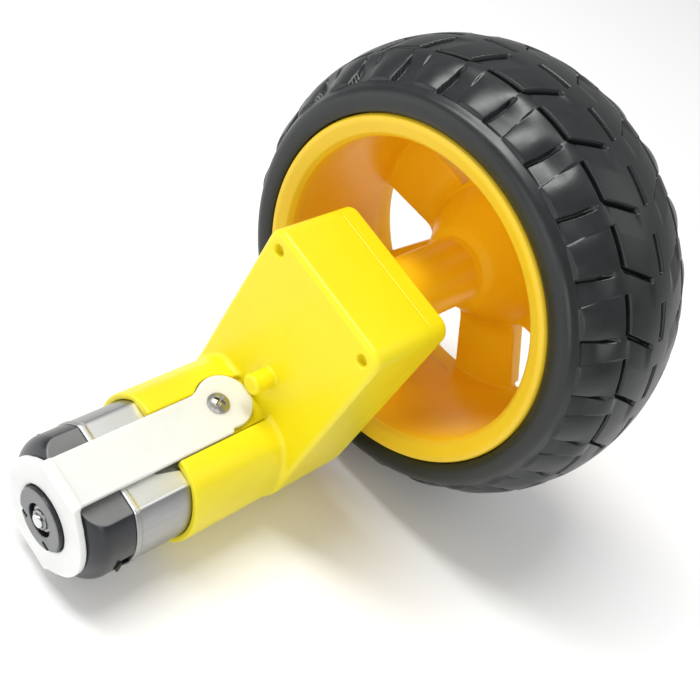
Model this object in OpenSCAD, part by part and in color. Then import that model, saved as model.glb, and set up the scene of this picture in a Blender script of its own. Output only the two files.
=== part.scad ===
// Geared hobby motor with drive wheel: a flat yellow gearbox carries a small
// brushed can motor on one face and a spoked wheel with a rubber tyre on the
// other.  The wheel axis runs along Y, the gearbox leans about that axis so
// that the tyre and the round lower end of the gearbox both touch the ground.
// Millimetres, Z up, origin in the middle of the bounding box (on the axis).

/* [Tyre] */
// Outer radius of the tyre over the tread
tyre_r = 34.2; // [33:0.1:35]
// Width of the tyre
tyre_w = 26.8; // [25:0.1:28]
// Repeats of the tread pattern round the tyre
tread_pitches = 24; // [20, 22, 24, 26]
// Depth of the tread grooves
tread_depth = 1.1; // [0.6:0.1:1.4]

// Radius of the crown across the tread, on the gearbox side
crown_r = 19; // [18:0.5:24]
// Radius of the crown across the tread, on the far side
crown_f = 24; // [20:0.5:28]

/* [Wheel] */
// Radius of the rim lip
lip_r = 25.5; // [25:0.1:26]
// Distance from the gearbox face to the near edge of the rim
wheel_gap = 5.15; // [4:0.05:6]
// Width of a spoke
spoke_w = 11; // [9:0.5:12]
// Number of spokes
spokes = 6; // [5, 6]
// Radius of the hub that takes the shaft
hub_r = 5.05; // [4.8:0.05:5.6]

/* [Gearbox] */
// Width of the gearbox
box_w = 22.5; // [22:0.1:23]
// Thickness of the gearbox along the axis
box_t = 13.5; // [13.3:0.1:15]
// Height of the gearbox above the output axis
box_top = 10.1; // [10:0.1:11]
// Wall thickness of the gearbox
wall = 1.3; // [1.2:0.05:1.35]
// Distance from the motor axis to the gear pin
motor_step = 11.5; // [11.4:0.05:11.7]

/* [Motor] */
// Radius of the round sides of the motor can
can_r = 10; // [9.9:0.05:10]
// Half the height over the two flats of the can
flat_h = 7.5; // [7.3:0.1:7.6]
// Length of the metal can
can_len = 24; // [23:0.1:25]
// Length of the plastic end cap
cap_len = 6.05; // [5.65:0.05:7]
// Length of the moulded cheeks that hold the motor
cheek_len = 15.5; // [14:0.1:16]

/* [Strap] */
// Width of the retaining strap
strap_w = 7.2; // [6.6:0.1:7.6]
// Thickness of the retaining strap
strap_t = 1; // [0.9:0.1:1]

/* [Hidden] */
$fn = 64;
e = 0.01;
d_axis = 12 + motor_step;          // output axis to motor axis
end_r = box_w/2;                   // round lower end of the gearbox
lean = acos((tyre_r - end_r)/d_axis);
y_in = -box_t;                     // motor side face of the gearbox
y_can = y_in - 0.02;               // front face of the can, against the gearbox
y_cap = y_can - can_len;           // joint of can and end cap
y_back = y_cap - cap_len;          // rear face of the end cap
y_ring = y_back - 0.05 - strap_t;  // outer face of the strap ring
y_tip = y_ring - 1.9;              // rear tip of the motor shaft
y_out = wheel_gap + tyre_w;
y_mid = (y_out + y_tip)/2;
strap_z = flat_h + 1.7;            // outer face of the strap over the flat
cheek_r = end_r - 0.25;
cheek_z = flat_h + 1.4;
split_y = -3;                      // joint between the two gearbox halves
post_top = [8.85, 7.5];
post_low = [6.4, -29.6 + 23.5];    // from the motor axis
pit_r = 0.9;
tread_turn = 79.6;                 // where the first shoulder recess starts
lip_in = lip_r - 3.3;              // inner edge of the broad sloping lip
eye_r = 4.1;                       // round eye at the end of each strap arm
eye_x = -1.1;
eye_y = y_in - 4.65;
screw_y = y_in - 5.85;
screw_x = -1.1;
peg = [0.1, 14.1];                 // moulded peg on the motor side, from the motor axis
screw_r = 0.8;
shaft_r = 2.7;
shaft_flat = 1.85;
seat_r = lip_r - 0.75;             // barrel under the tyre
y_disc = wheel_gap + 23.6;         // inner face of the spoked disc
disc_t = 1.9;
win_r = seat_r - 2.2;
// gear layers, from the motor side towards the wheel
g_t = 2.15;
L1 = -box_t + wall + 0.35;
L2 = L1 + g_t + 0.2;
L3 = L2 + g_t + 0.2;
L4 = L3 + g_t + 0.2;
m1 = 2*motor_step/(10 + 40);
m2 = 0.5;

// world placement of everything drawn in gearbox coordinates
module place() { translate([0, -y_mid, 0]) rotate([0, lean, 0]) children(); }
// cylinder along +Y from y0 to y1
module ycyl(r, y0, y1, x = 0, z = 0, f = 64)
    translate([x, y0, z]) rotate([-90, 0, 0]) cylinder(r = r, h = y1 - y0, $fn = f);
// plate: 2D shape in X,Z drawn as X,Y and pushed from y0 to y1
module yplate(y0, y1) translate([0, y1, 0]) rotate([90, 0, 0]) linear_extrude(y1 - y0) children();
// revolve a profile given as [radius, y]
module yspin(f = 96) rotate([-90, 0, 0]) rotate_extrude($fn = f) children();

// ---------- involute gears ----------
function inv_pt(rb, t) = [rb*(cos(t) + t*PI/180*sin(t)), rb*(sin(t) - t*PI/180*cos(t))];
function rot2(p, a) = [p[0]*cos(a) - p[1]*sin(a), p[0]*sin(a) + p[1]*cos(a)];
function inv_ang(rb, r) = let(c = rb/r, a = acos(min(1, c))) tan(a)*180/PI - a;
pa = 25;
module gear2d(n, m, gap = 0) {
    rp = n*m/2; rb = rp*cos(pa); ra = rp + 0.88*m; rr = rp - 1.18*m;
    r0 = max(rb, rr + 0.02);
    half = 90/n - 0.045/rp*180/PI + inv_ang(rb, rp);
    rs = [for (i = [0:4]) r0 + (ra - r0)*i/4];
    tooth = concat(
        [[rr, -(half - inv_ang(rb, r0))]],
        [for (r = rs) [r, -(half - inv_ang(rb, r))]],
        [for (i = [4:-1:0]) [rs[i], half - inv_ang(rb, rs[i])]],
        [[rr, half - inv_ang(rb, r0)]]);
    polygon([for (k = [0:n-1]) for (p = tooth)
        let(a = 90 + p[1] + k*360/n + gap*180/n) [p[0]*cos(a), p[0]*sin(a)]]);
}
module ygear(n, m, y0, t, z, gap, bore) difference() {
    translate([0, 0, z]) yplate(y0, y0 + t) gear2d(n, m, gap);
    ycyl(bore, y0 - 1, y0 + t + 1, 0, z, 48);
}

// ---------- wheel ----------
module tyre_body() {
    c = wheel_gap; w = tyre_w; r = tyre_r;
    crown = [for (v = [-12.3:1.23:12.31]) let(k = v < 0 ? crown_r : crown_f) [r - k + sqrt(k*k - v*v), c + w/2 + v]];
    yspin() polygon(concat(
        [[lip_r + 0.1, c + 0.35], [r - 7.4, c - 0.2], [r - 6.4, c - 0.3], [r - 5.6, c - 0.1], [r - 5.0, c + 0.35]],
        crown,
        [[r - 4.3, c + w - 0.5], [r - 5.3, c + w - 0.1], [r - 6.8, c + w], [lip_r + 0.1, c + w - 0.35],
        [lip_r + 0.1, c + w - 2.6], [seat_r + 0.02, c + w - 2.9], [seat_r + 0.02, c + 2.9], [lip_r + 0.1, c + 2.6]]));
}
// tread groove; v is its distance from the middle of the tread, laid on the crowned surface
module groove(a, v, dx, dy, turn, up) let(k = v < 0 ? crown_r : crown_f) rotate([0, a, 0]) translate([0, wheel_gap + tyre_w/2, tyre_r - k])
    rotate([-asin(v/k), 0, 0]) translate([0, 0, k + up]) rotate([0, 0, turn]) translate([-dx/2, -dy/2, -tread_depth]) cube([dx, dy, tread_depth + 3]);
module tyre() color([0.12, 0.13, 0.13]) place() difference() {
    tyre_body();
    for (k = [0:tread_pitches-1]) let(p = 360/tread_pitches, a = 90 - tread_turn - k*p, w = 2*PI*tyre_r/tread_pitches) {
        // recess between two shoulder blocks, both shoulders
        groove(a - 0.18*p, -11, 0.36*w, 5.2, 0, 0);
        groove(a - 0.26*p, 11, 0.36*w, 5.2, 0, 0);
        // slot along the inner edge of each shoulder block
        groove(a - 0.71*p, -5.7, 0.62*w, 0.9, 0, 0);
        groove(a - 0.79*p, 5.7, 0.62*w, 0.9, 0, 0);
        // slot across the middle, and the slanted slot beside each middle block
        groove(a - 0.48*p, 1.8, 0.6*w, 1, 0, 0);
        groove(a - 0.27*p, -2.8, 0.6, 5.2, 19, 0);
        groove(a - 0.25*p, 4.0, 0.6, 3.6, -22, 0);
    }
}
module wheel_rim() color([0.97, 0.75, 0.08]) place() difference() {
    yspin(128) polygon([
        [shaft_r + 0.6, 1.4], [hub_r - 0.4, 1.4], [hub_r, 1.8], [hub_r, 18.4], [hub_r + 1.3, 19.6], [11.2, y_disc - 0.6], [12.4, y_disc],
        [win_r + 0.1, y_disc], [win_r + 0.3, y_disc - 1], [lip_in + 0.25, wheel_gap + 6], [lip_in, wheel_gap + 2.2],
        [lip_in + 0.15, wheel_gap + 1.4], [lip_in + 0.9, wheel_gap + 0.6], [lip_r - 0.9, wheel_gap], [lip_r - 0.25, wheel_gap + 0.2], [lip_r, wheel_gap + 0.8],
        [lip_r, wheel_gap + 2.4], [seat_r, wheel_gap + 2.7], [seat_r, y_out - 2.7], [lip_r, y_out - 2.4], [lip_r, y_out - 0.9],
        [lip_r - 0.5, y_out - 0.4], [seat_r - 1, y_out - 0.4], [seat_r - 1.6, y_disc + disc_t], [8.4, y_disc + disc_t],
        [7.2, y_disc + disc_t + 0.3], [5.2, y_disc + disc_t + 0.3], [4.4, y_disc + disc_t - 0.4], [3.6, 23.2], [shaft_r + 0.6, 23.2]]);
    // spoke openings
    for (k = [0:spokes-1]) yplate(y_disc - 8, y_disc + disc_t + 2)
        rotate(35 + k*360/spokes) window2d();
}
// double-D sleeve core that fills the hub round the shaft
module hub_core() difference() {
    ycyl(shaft_r + 0.7, 1.4, 23.2);
    yplate(1.3, 21.5) shaft2d(0.03);
    ycyl(0.95, 21.4, 24);
}
module shaft2d(g = 0) intersection() {
    circle(shaft_r + g, $fn = 64);
    square([2*(shaft_flat + g), 12], center = true);
}
module window2d() {
    h = 180/spokes; a = spoke_w/2/sin(h) + 0.8;
    x1 = win_r*cos(h - asin(spoke_w/2/win_r)) ; y1 = win_r*sin(h - asin(spoke_w/2/win_r));
    difference() {
        polygon([[a, 0.5], [x1, y1 - 0.4], [win_r + 4, y1 - 0.4], [win_r + 4, -y1 + 0.4], [x1, -y1 + 0.4], [a, -0.5]]);
        difference() { circle(win_r + 9); circle(win_r, $fn = 96); }
    }
}
module wheel_screw() color([0.75, 0.75, 0.76]) place() difference() {
    union() {
        ycyl(0.9, 16.5, 23.3, f = 24);
        translate([0, 0, 0]) yspin(48) polygon([[0, 23.25], [2.7, 23.25], [2.7, 23.9], [1.9, 24.7], [0, 24.9]]);
    }
    for (a = [0, 90]) translate([0, 25, 0]) rotate([0, a, 0]) cube([3.2, 1.8, 0.6], center = true);
}
module output_shaft() color([0.93, 0.93, 0.9]) place() difference() {
    union() {
        yplate(0.3, 21.4) shaft2d();
        ycyl(shaft_r, split_y + 0.3, 0.35);
        ycyl(shaft_r, L4 - 0.05, split_y + 0.35);
        ycyl(2.2, -box_t + 0.5, L4 + 0.1, f = 48);
    }
    ycyl(0.9, 16.4, 22, f = 24);
}
module output_gear() color([0.9, 0.9, 0.86]) place() ygear(32, m2, L4, g_t, 0, 0, shaft_r + 0.01);

// ---------- gear train ----------
module third_gear() color([0.86, 0.87, 0.84]) place() difference() {
    union() {
        translate([0, 0, -12]) yplate(L3, L3 + g_t) gear2d(36, m2, 0);
        translate([0, 0, -12]) yplate(L3 + g_t - e, L4 + g_t) gear2d(16, m2, 1);
    }
    ycyl(1.05, L3 - 1, L4 + 4, 0, -12, 32);
}
module second_gear() color([0.93, 0.92, 0.88]) place() difference() {
    union() {
        yplate(L2, L2 + g_t) gear2d(32, m2, 1);
        yplate(L2 + g_t - e, L3 + g_t) gear2d(12, m2, 1);
    }
    ycyl(2.25, L2 - 1, L4, f = 48);
}
module first_gear() color([0.86, 0.87, 0.84]) place() difference() {
    union() {
        translate([0, 0, -12]) yplate(L1, L1 + g_t) gear2d(40, m1, 0);
        translate([0, 0, -12]) yplate(L1 + g_t - e, L2 + g_t) gear2d(16, m2, 0);
    }
    ycyl(1.05, L1 - 1, L2 + 4, 0, -12, 32);
}
module gear_pin() color([0.7, 0.71, 0.73]) place() ycyl(1, -box_t + 0.5, -0.6, 0, -12, 32);
module motor_pinion() color([0.93, 0.93, 0.9]) place() ygear(10, m1, L1 - 0.05, g_t + 0.1, -d_axis, 1, 1);

// ---------- motor ----------
module can2d(g = 0) intersection() {
    circle(can_r + g, $fn = 96);
    square([40, 2*(flat_h + g)], center = true);
}
module motor_can() color([0.72, 0.73, 0.75]) place() translate([0, 0, -d_axis]) difference() {
    union() {
        yplate(y_cap, y_can) can2d();
        yplate(y_cap, y_cap + 0.9) can2d(0.12);
        ycyl(3, y_can - e, y_can + 0.55, f = 48);
    }
    yplate(y_cap - 1, y_can - 0.6) can2d(-0.55);
    ycyl(2.1, y_can - 2, y_can + 2, f = 48);
}
module magnets() color([0.25, 0.25, 0.27]) place() translate([0, 0, -d_axis]) for (s = [1, -1]) yplate(y_can - 18, y_can - 2.2)
    intersection() {
        difference() { circle(can_r - 0.65, $fn = 96); circle(6.75, $fn = 96); }
        square([40, 2*(flat_h - 0.65)], center = true);
        translate([s*10, 0]) square([10.4, 40], center = true);
    }
module magnet_clips() color([0.6, 0.61, 0.63]) place() translate([0, 0, -d_axis]) for (s = [1, -1])
    translate([-3.5, y_can - 17.5, s*(flat_h - 0.73) - 0.13]) cube([7, 14, 0.26]);
module front_bushing() color([0.78, 0.6, 0.3]) place() translate([0, 0, -d_axis]) difference() {
    ycyl(2.05, y_can - 1.6, y_can + 0.55, f = 48);
    ycyl(1.03, y_can - 3, y_can + 2, f = 32);
}
module rear_bushing() color([0.78, 0.6, 0.3]) place() translate([0, 0, -d_axis]) difference() {
    ycyl(2.05, y_ring - 1.5, y_ring + 2.2, f = 48);
    ycyl(1.03, y_ring - 3.5, y_ring + 4, f = 32);
}
module motor_shaft() color([0.75, 0.76, 0.78]) place() ycyl(1, y_tip, L1 + g_t, 0, -d_axis, 32);
pole = [0, 120, 240];
module rotor2d() {
    difference() { circle(2.6, $fn = 48); circle(1, $fn = 32); }
    for (a = pole) rotate(a) {
        translate([1.6, -0.8]) square([4.1, 1.6]);
        intersection() {
            difference() { circle(6.35, $fn = 96); circle(5.5, $fn = 96); }
            polygon([[0, 0], [9, -11.5], [12, 0], [9, 11.5]]);
        }
    }
}
module rotor_core() color([0.5, 0.5, 0.53]) place() translate([0, 0, -d_axis]) yplate(y_can - 14.6, y_can - 5) rotor2d();
module windings() color([0.72, 0.38, 0.16]) place() translate([0, 0, -d_axis]) for (a = pole) rotate([0, a, 0]) difference() {
    translate([2.95, y_can - 15.6, -2.1]) cube([2.05, 11.6, 4.2]);
    translate([2.5, y_can - 14.65, -0.85]) cube([3.4, 9.7, 1.7]);
}
module commutator() color([0.8, 0.55, 0.3]) place() translate([0, 0, -d_axis]) difference() {
    ycyl(1.9, y_cap - 1.6, y_can - 16.2, f = 48);
    ycyl(1, y_cap - 3, y_can - 10, f = 32);
    for (a = pole) rotate([0, a + 60, 0]) translate([1.5, y_cap - 3, -0.15]) cube([1, 4.4, 0.3]);
}
module end_cap() color([0.1, 0.1, 0.12]) place() translate([0, 0, -d_axis]) difference() {
    union() {
        intersection() {
            yspin() polygon([[0, y_cap], [can_r - 0.05, y_cap], [can_r - 0.05, y_back + 2.9], [can_r - 0.4, y_back + 1.5],
                [can_r - 1.2, y_back + 0.5], [can_r - 2.4, y_back], [0, y_back]]);
            translate([-20, y_back - 1, -flat_h + 0.05]) cube([40, cap_len + 4, 2*flat_h - 0.1]);
        }
        ycyl(4.5, y_ring - 1.1, y_back + e);
        yplate(y_cap - e, y_cap + 1.6) can2d(-0.6);
    }
    yplate(y_back + 1.2, y_cap + 3) intersection() { circle(7.6); square([40, 2*flat_h - 3], center = true); }
    ycyl(2.05, y_ring - 3, y_back + 3, f = 48);
    for (s = [1, -1]) translate([s*9 - 1, y_cap - 2.6, -1.25]) cube([2, 6, 2.5]);
}
module brushes() color([0.72, 0.5, 0.28]) place() translate([0, 0, -d_axis]) for (s = [1, -1]) {
    translate([s*2.15 - 0.2, y_cap - 1.2, -1]) cube([0.4, 1.8, 2]);
    translate([s > 0 ? 2.3 : -7.3, y_cap - 1.0, -0.9]) cube([5, 0.25, 1.8]);
}
module terminals() color([0.8, 0.66, 0.36]) place() translate([0, 0, -d_axis]) for (s = [1, -1]) union() {
    translate([s > 0 ? 8.15 : -9.0, y_cap - 2.4, -1.1]) cube([0.85, 1.2, 2.2]);
    translate([s > 0 ? 8.2 : -10.35, y_cap - 2.3, -1.1]) cube([2.15, 0.3, 2.2]);
}

// ---------- gearbox ----------
module slab2d(g = 0) union() {
    difference() {
        translate([-box_w/2 + g, -d_axis]) square([box_w - 2*g, d_axis + box_top - g]);
        for (s = [1, -1]) translate([s*(box_w/2 - g), box_top - g]) rotate(s > 0 ? 180 : 270) difference() {
            translate([-1, -1]) square(1 + 2.2 - min(g, 1));
            translate([2.2 - min(g, 1), 2.2 - min(g, 1)]) circle(2.2 - min(g, 1), $fn = 48);
        }
    }
    translate([0, -d_axis]) circle(end_r - g, $fn = 128);
}
module posts2d(r) {
    for (s = [1, -1]) {
        translate([s*post_top[0], post_top[1]]) circle(r, $fn = 32);
        translate([s*post_low[0], post_low[1] - d_axis]) circle(r, $fn = 32);
    }
}
module cheeks2d() difference() {
    intersection() {
        circle(cheek_r, $fn = 128);
        square([40, 2*cheek_z], center = true);
    }
    can2d(0.06);
    translate([-0.1, 0]) square([strap_w + 0.3, 40], center = true);
}
module gearbox_rear() color([0.98, 0.86, 0.1]) place() difference() {
    union() {
        difference() {
            // outer skin with a stepped soft edge on the motor side
            union() {
                yplate(y_in + 0.5, split_y) slab2d();
                yplate(y_in, y_in + 0.5 + e) slab2d(0.45);
            }
            difference() {
                yplate(y_in + wall, 1) slab2d(wall);
                yplate(y_in, 2) posts2d(2);
                                ycyl(3.2, y_in, L1 - 0.2, 0, 0, 48);
                ycyl(2, y_in, L1 - 0.2, 0, -12, 32);
            }
        }
        // cheeks round the motor
        translate([0, 0, -d_axis]) yplate(y_in - cheek_len, y_in + 0.6) cheeks2d();
        // blocks under the strap ends, carrying the strap screws
        for (s = [1, -1]) translate([-3.9, y_in - 8.4, -d_axis + (s > 0 ? flat_h + 0.08 : -strap_z + strap_t + 0.02)])
            cube([7.3, 8.6, strap_z - strap_t - flat_h - 0.1]);
        // peg above the strap end
        ycyl(1.5, y_in - 3.4, y_in + 1, peg[0], peg[1] - d_axis, 48);
    }
    // round pocket for each strap eye
    for (s = [1, -1]) translate([eye_x, eye_y, -d_axis + (s > 0 ? strap_z - strap_t - 0.02 : -strap_z - 1)]) cylinder(r = eye_r + 0.15, h = strap_t + 1.02, $fn = 96);
    // room for the can, its boss and the pinion
    translate([0, 0, -d_axis]) yplate(y_in - 1, y_in) can2d(0.06);
    ycyl(3.1, y_in - 1, y_in + wall + 0.1, 0, -d_axis, 48);
    // shaft end and gear pin blind holes
    ycyl(2.23, -box_t + 0.45, 0, f = 48);
    ycyl(1, -box_t + 0.48, 0, 0, -12, 32);
    // small blind pits in the upper corners of the motor side face
    for (s = [1, -1]) ycyl(pit_r, y_in - 1, y_in + 2.4, s*post_top[0], post_top[1], 32);
    // pilot holes for the cover screws
    for (s = [1, -1]) {
        ycyl(screw_r, split_y - 6.1, 1, s*post_top[0], post_top[1], 24);
        ycyl(screw_r, split_y - 6.1, 1, s*post_low[0], post_low[1] - d_axis, 24);
    }
    // pilot holes under the strap screws
    for (s = [1, -1]) translate([screw_x, screw_y, -d_axis + s*(flat_h + 0.7)]) cylinder(r = 0.8, h = 3, center = true, $fn = 24);
}
module gearbox_front() color([0.98, 0.86, 0.1]) place() difference() {
    union() {
        yplate(split_y + 0.02, -0.45) slab2d();
        yplate(-0.46, 0) slab2d(0.45);
    }
    difference() {
        yplate(split_y - 1, -wall) slab2d(wall);
        yplate(split_y, 2) posts2d(2);
        ycyl(2, -2.1, 0, 0, -12, 32);
    }
    ycyl(shaft_r + 0.04, split_y - 1, 1);
    ycyl(1, -10, -0.55, 0, -12, 32);
    for (s = [1, -1]) {
        ycyl(screw_r + 0.05, split_y - 1, 1, s*post_top[0], post_top[1], 24);
        ycyl(1.65, -0.9, 1, s*post_top[0], post_top[1], 32);
        ycyl(screw_r + 0.05, split_y - 1, 1, s*post_low[0], post_low[1] - d_axis, 24);
        ycyl(1.65, -0.9, 1, s*post_low[0], post_low[1] - d_axis, 32);
    }
}
module small_screw(l) difference() {
    union() {
        ycyl(screw_r - 0.01, -l, 0.05, f = 24);
        ycyl(1.6, 0, 0.7, f = 32);
    }
    for (a = [0, 90]) translate([0, 0.7, 0]) rotate([0, a, 0]) cube([2, 0.6, 0.4], center = true);
}
module gearbox_screws() color([0.72, 0.73, 0.75]) place() for (s = [1, -1]) {
    translate([s*post_top[0], -0.9 + 0.02, post_top[1]]) small_screw(7.8);
    translate([s*post_low[0], -0.9 + 0.02, post_low[1] - d_axis]) small_screw(7.8);
}

// ---------- strap ----------
module strap() color([0.95, 0.95, 0.92]) place() translate([0, 0, -d_axis]) difference() {
    union() {
        for (s = [1, -1]) {
            // arm along the flat, with a rounded end
            translate([-strap_w/2 - 0.1, y_ring, s > 0 ? strap_z - strap_t : -strap_z])
                cube([strap_w, y_in - 6.2 - y_ring, strap_t]);
            translate([eye_x, eye_y, s > 0 ? strap_z - strap_t : -strap_z]) cylinder(r = eye_r, h = strap_t, $fn = 96);
            // drop down the back
            translate([-strap_w/2, y_ring, s > 0 ? 5 : -strap_z]) cube([strap_w, strap_t, strap_z - 5]);
        }
        // ring, widened where it meets the arms
        ycyl(8.25, y_ring, y_ring + strap_t, f = 96);
        yplate(y_ring, y_ring + strap_t) polygon([[-5.6, -strap_z + 1.6], [-3.6, -strap_z], [3.6, -strap_z], [5.6, -strap_z + 1.6],
            [5.6, strap_z - 1.6], [3.6, strap_z], [-3.6, strap_z], [-5.6, strap_z - 1.6]]);
    }
    ycyl(4.7, y_ring - 1, y_ring + strap_t + 1);
    for (s = [1, -1]) translate([screw_x, screw_y, s*strap_z]) cylinder(r = 0.95, h = 6, center = true, $fn = 24);
}
module strap_screws() color([0.78, 0.78, 0.8]) place() translate([screw_x, screw_y, -d_axis]) for (s = [1, -1]) mirror([0, 0, s > 0 ? 0 : 1]) difference() {
    union() {
        translate([0, 0, flat_h + 0.1]) cylinder(r = 0.79, h = strap_z - flat_h, $fn = 24);
        translate([0, 0, strap_z + 0.01]) cylinder(r = 1.75, h = 0.5, $fn = 48);
        translate([0, 0, strap_z + 0.5]) cylinder(r1 = 1.75, r2 = 1.1, h = 0.45, $fn = 48);
    }
    translate([0, 0, strap_z + 1]) { cube([2.2, 0.5, 1], center = true); cube([0.5, 2.2, 1], center = true); }
}
module wheel_rim_all() { wheel_rim(); color([0.97, 0.75, 0.08]) place() hub_core(); }

tyre();
wheel_rim_all();  // wheel_rim
wheel_screw();
output_shaft();
output_gear();
third_gear();
second_gear();
first_gear();
gear_pin();
motor_pinion();
motor_shaft();
rotor_core();
windings();
commutator();
motor_can();
magnets();
magnet_clips();
front_bushing();
rear_bushing();
end_cap();
brushes();
terminals();
gearbox_rear();
gearbox_front();
gearbox_screws();
strap();
strap_screws();
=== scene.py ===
import math
import bpy
import numpy as np
from mathutils import Matrix, Vector


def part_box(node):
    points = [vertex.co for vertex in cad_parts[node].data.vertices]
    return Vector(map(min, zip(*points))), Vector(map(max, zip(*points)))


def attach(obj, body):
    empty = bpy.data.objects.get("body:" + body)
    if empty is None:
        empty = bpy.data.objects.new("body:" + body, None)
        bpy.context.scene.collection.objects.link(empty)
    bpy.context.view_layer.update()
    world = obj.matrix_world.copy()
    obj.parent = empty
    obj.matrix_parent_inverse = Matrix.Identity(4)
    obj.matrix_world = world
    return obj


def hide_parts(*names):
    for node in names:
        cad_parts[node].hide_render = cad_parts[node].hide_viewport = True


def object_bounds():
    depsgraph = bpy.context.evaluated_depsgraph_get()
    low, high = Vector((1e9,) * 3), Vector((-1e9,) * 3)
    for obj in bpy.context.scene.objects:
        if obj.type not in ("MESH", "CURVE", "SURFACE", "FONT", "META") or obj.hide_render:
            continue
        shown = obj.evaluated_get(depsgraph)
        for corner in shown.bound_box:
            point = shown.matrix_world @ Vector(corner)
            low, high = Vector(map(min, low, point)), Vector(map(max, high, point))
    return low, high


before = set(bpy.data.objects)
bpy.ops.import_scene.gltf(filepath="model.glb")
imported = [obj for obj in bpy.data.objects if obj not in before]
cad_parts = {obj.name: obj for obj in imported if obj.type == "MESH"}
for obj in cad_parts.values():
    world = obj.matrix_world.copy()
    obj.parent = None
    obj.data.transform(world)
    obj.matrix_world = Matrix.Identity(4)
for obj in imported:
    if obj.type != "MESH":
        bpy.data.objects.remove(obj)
CAD_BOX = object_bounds()
scene = bpy.context.scene
rng = np.random.default_rng(7)

# ------------------------------------------------------------------ places
# Everything is drawn in gearbox coordinates (mm): the output axis is y, z runs
# from the motor axis up to the output axis, y = 0 is the wheel side face.


def centre(node):
    lo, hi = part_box(node)
    return (lo + hi) / 2


_m = centre("motor_shaft")
D = math.hypot(_m.x, _m.z) * 1000
LEAN = math.atan2(-_m.x, -_m.z)
CL, SL = math.cos(LEAN), math.sin(LEAN)
Y0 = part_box("gearbox_front")[1].y * 1000


def yy(v):
    return v * 1000 - Y0


TL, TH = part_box("tyre")
TYRE_R = (TH.z - TL.z) / 2 * 1000
TY0, TY1 = yy(TL.y) + 0.3, yy(TH.y)
TYC = (TY0 + TY1) / 2
RL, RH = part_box("wheel_rim")
LIP_R = (RH.z - RL.z) / 2 * 1000
LIP_IN = LIP_R - 3.3
SEAT_R = LIP_R - 0.75
Y_IN = yy(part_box("gear_pin")[0].y) - 0.5
SPLIT = yy(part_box("gearbox_rear")[1].y)
CHEEK_END = yy(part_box("gearbox_rear")[0].y)
Y_CAP = yy(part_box("motor_can")[0].y)
Y_RING = yy(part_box("strap")[0].y)
Y_BACK = Y_RING + 1.05
Y_TIP = yy(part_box("motor_shaft")[0].y)
Y_DISC = TY0 + 23.6
WIN_R = SEAT_R - 2.2
BOX_W, BOX_TOP = 22.5, 10.1
END_R = BOX_W / 2
FLAT = 7.5
STRAP_Z = FLAT + 1.7
EYE = (-1.1, Y_IN - 4.65, 4.1)
SCREW = (-1.1, Y_IN - 5.85)
PEG = (0.1, 14.1)


def to_row(P):
    """Gearbox coordinates in mm to the row frame in metres."""
    P = np.asarray(P, float)
    out = np.empty_like(P)
    out[..., 0] = (P[..., 0] * CL + P[..., 2] * SL) / 1000
    out[..., 1] = (P[..., 1] + Y0) / 1000
    out[..., 2] = (-P[..., 0] * SL + P[..., 2] * CL) / 1000
    return out


def dir_row(v):
    return Vector((v[0] * CL + v[2] * SL, v[1], -v[0] * SL + v[2] * CL))


# ------------------------------------------------------- distance fields
def smin(a, b, k):
    h = np.clip(0.5 + 0.5 * (b - a) / k, 0, 1)
    return b + (a - b) * h - k * h * (1 - h)


def smax(a, b, k):
    return -smin(-a, -b, k)


def length(*a):
    s = 0
    for v in a:
        s = s + v * v
    return np.sqrt(s)


def box2(x, z, hx, hz, r=0.0):
    qx, qz = np.abs(x) - hx + r, np.abs(z) - hz + r
    return length(np.maximum(qx, 0), np.maximum(qz, 0)) + np.minimum(np.maximum(qx, qz), 0) - r


def box3(x, y, z, c, h, r=0.0):
    qx, qy, qz = np.abs(x - c[0]) - h[0] + r, np.abs(y - c[1]) - h[1] + r, np.abs(z - c[2]) - h[2] + r
    return length(np.maximum(qx, 0), np.maximum(qy, 0), np.maximum(qz, 0)) + np.minimum(np.maximum(np.maximum(qx, qy), qz), 0) - r


def plate(d, y, y0, y1, r=0.0):
    """2D field d pushed from y0 to y1, edges rounded by r."""
    a, b = d + r, np.abs(y - (y0 + y1) / 2) - (y1 - y0) / 2 + r
    return np.minimum(np.maximum(a, b), 0) + length(np.maximum(a, 0), np.maximum(b, 0)) - r


def poly2(x, z, pts):
    """Signed distance to a closed polygon."""
    d = np.full(np.shape(x), 1e9)
    inside = np.zeros(np.shape(x), bool)
    n = len(pts)
    for i in range(n):
        ax, az = pts[i]
        bx, bz = pts[(i + 1) % n]
        ex, ez = bx - ax, bz - az
        wx, wz = x - ax, z - az
        t = np.clip((wx * ex + wz * ez) / (ex * ex + ez * ez), 0, 1)
        d = np.minimum(d, (wx - ex * t) ** 2 + (wz - ez * t) ** 2)
        c = ((az > z) != (bz > z)) & (x < (bx - ax) * (z - az) / (bz - az + 1e-12) + ax)
        inside ^= c
    return np.where(inside, -1.0, 1.0) * np.sqrt(d)


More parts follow.
